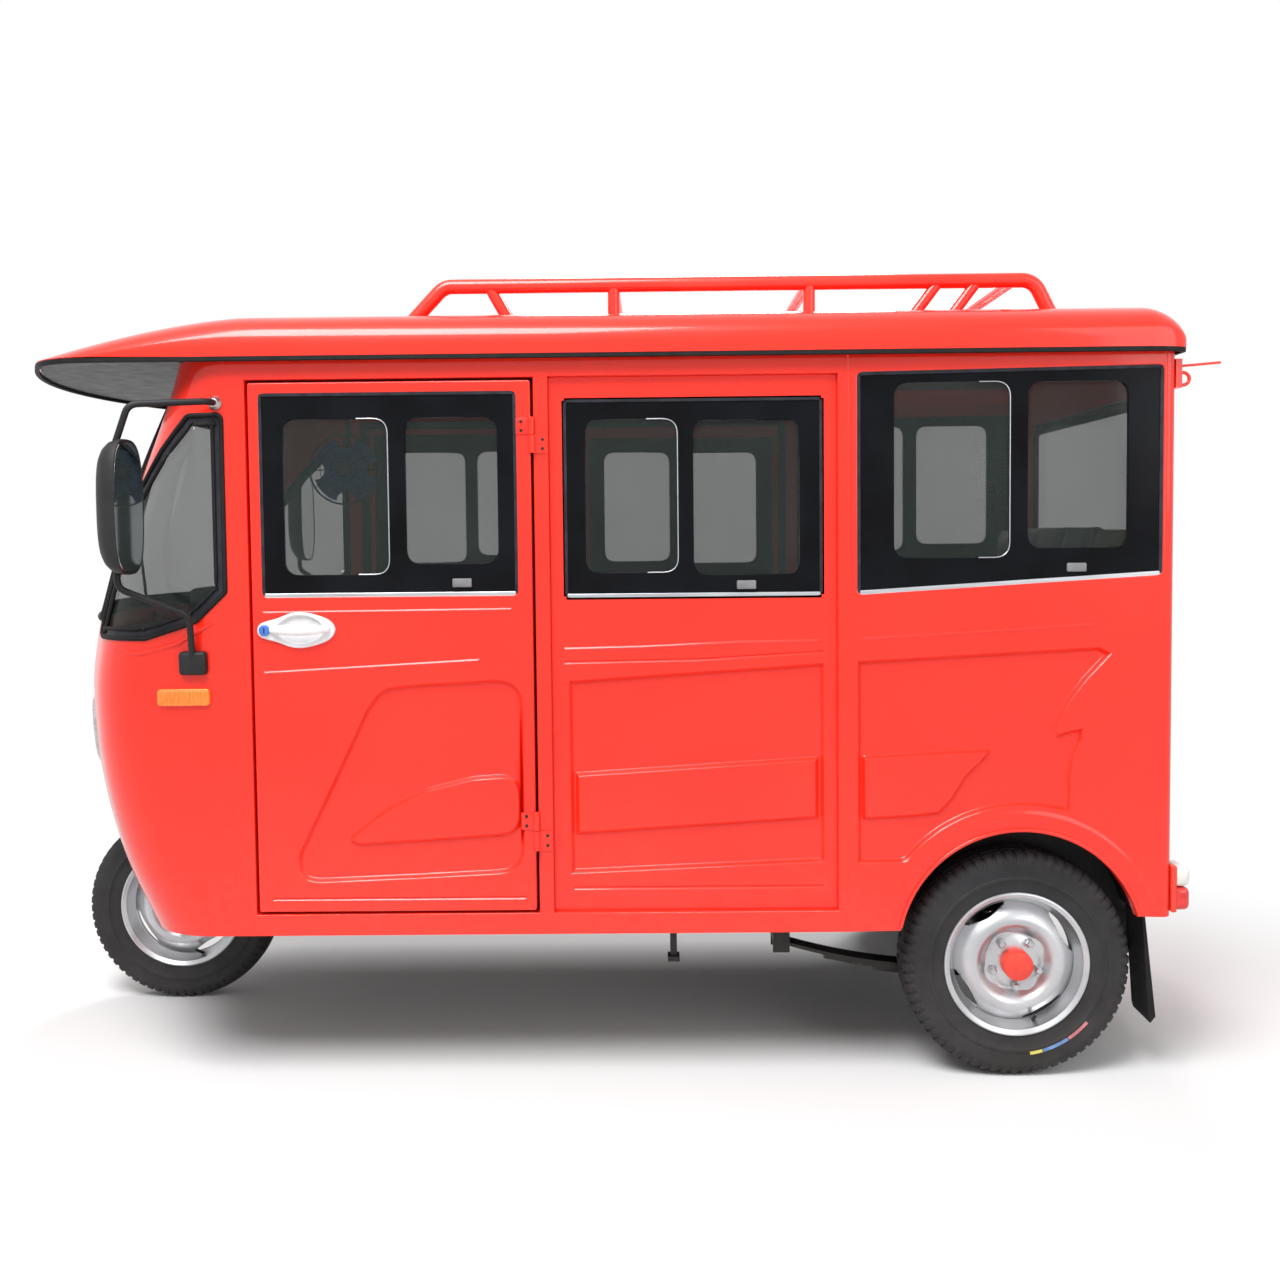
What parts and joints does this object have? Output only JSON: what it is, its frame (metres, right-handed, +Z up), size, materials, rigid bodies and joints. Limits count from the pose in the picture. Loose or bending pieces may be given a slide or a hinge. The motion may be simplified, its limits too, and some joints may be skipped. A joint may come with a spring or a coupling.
{
  "type": "auto rickshaw",
  "caption": "Enclosed passenger auto rickshaw: steered front wheel, driven rear wheels, hinged doors, wrap-round nose, visor roof and roof rack.",
  "frame": {"origin": "on the ground under the middle of the vehicle's length and width", "axes": "-X is the front, -Y the vehicle's left side, +Z up"},
  "size_m": [2.8582, 1.61, 1.874],
  "materials": {
    "body_red": "glossy orange-red paint on pressed steel",
    "frame_black": "satin black paint on steel",
    "black_plastic": "grained black plastic",
    "rubber_black": "black rubber",
    "tyre_black": "black tyre rubber",
    "rim_silver": "silver paint on pressed steel",
    "pane": "lightly tinted glass",
    "amber": "amber lens",
    "lamp_clear": "clear lamp glass",
    "lamp_red": "red and white lens",
    "handle_white": "silver-white plastic",
    "seat_cover": "dark brown leatherette",
    "steel_grey": "bare steel",
    "cast_grey": "cast metal, oily",
    "fan_blue": "blue plastic"
  },
  "bodies": {
    "root": {"chassis_frame": "frame_black", "floor_pan": "frame_black", "side_frame_left": "body_red", "side_frame_right": "body_red", "middle_panel_left": "body_red", "rear_quarter_left": "body_red", "rear_quarter_right": "body_red", "rear_wall": "body_red", "nose_fascia": "body_red", "front_wheel_housing": "frame_black", "windscreen_frame": "body_red", "windscreen": "pane", "fixed_windows": "pane", "dashboard": "black_plastic", "roof_shell": "body_red", "roof_visor": "body_red", "roof_gasket": "rubber_black", "roof_rack": "body_red", "head_lamps": "lamp_clear", "front_indicators": "amber", "tail_lamps": "lamp_red", "rear_bumper": "body_red", "rear_bracket": "body_red", "mirrors": "black_plastic", "door_hinges": "body_red", "seat_bases": "frame_black", "driver_seat": "seat_cover", "passenger_seats": "seat_cover", "engine_block": "cast_grey", "propeller_shaft": "frame_black", "rear_axle": "frame_black", "leaf_springs": "frame_black", "wheel_tubs": "frame_black", "mud_flaps": "rubber_black", "underbody_peg": "frame_black", "fan_housing": "black_plastic"},
    "steering": {"steering_fork": "steel_grey", "handlebar": "frame_black", "front_mudguard": "frame_black"},
    "front_wheel": {"rim_front": "rim_silver", "tyre_front": "tyre_black"},
    "rear_left_wheel": {"rim_rear_left": "rim_silver", "tyre_rear_left": "tyre_black"},
    "rear_right_wheel": {"rim_rear_right": "rim_silver", "tyre_rear_right": "tyre_black"},
    "left_door": {"door_left": "body_red", "window_door_left": "pane", "handle_door_left": "handle_white"},
    "right_front_door": {"door_right_front": "body_red", "window_door_right_front": "pane", "handle_door_right_front": "handle_white"},
    "right_middle_door": {"door_right_middle": "body_red", "window_door_right_middle": "pane", "handle_door_right_middle": "handle_white"},
    "cab_fan": {"fan_rotor": "fan_blue"}
  },
  "joints": [
    {"name": "steer", "type": "hinge", "parent": "root", "child": "steering", "pos_m": [-1.13355, 0, 0.24132], "axis": [0.4067, 0, 0.9135], "range_deg": [-35, 35]},
    {"name": "front_wheel_spin", "type": "hinge", "parent": "steering", "child": "front_wheel", "pos_m": [-1.171, 0, 0.258], "axis": [0, 1, 0], "continuous": true},
    {"name": "rear_left_wheel_spin", "type": "hinge", "parent": "root", "child": "rear_left_wheel", "pos_m": [0.976, -0.53, 0.265], "axis": [0, 1, 0], "continuous": true},
    {"name": "rear_right_wheel_spin", "type": "hinge", "parent": "root", "child": "rear_right_wheel", "pos_m": [0.976, 0.53, 0.265], "axis": [0, 1, 0], "continuous": true},
    {"name": "left_door_hinge", "type": "hinge", "parent": "root", "child": "left_door", "pos_m": [-0.132, -0.617, 1], "axis": [0, 0, 1], "range_deg": [0, 70]},
    {"name": "right_front_door_hinge", "type": "hinge", "parent": "root", "child": "right_front_door", "pos_m": [-0.132, 0.617, 1], "axis": [0, 0, -1], "range_deg": [0, 70]},
    {"name": "right_middle_door_hinge", "type": "hinge", "parent": "root", "child": "right_middle_door", "pos_m": [0.555, 0.617, 1], "axis": [0, 0, -1], "range_deg": [0, 70]},
    {"name": "cab_fan_spin", "type": "hinge", "parent": "root", "child": "cab_fan", "pos_m": [-0.7, 0, 1.456], "axis": [0, 1, 0], "continuous": true}
  ]
}
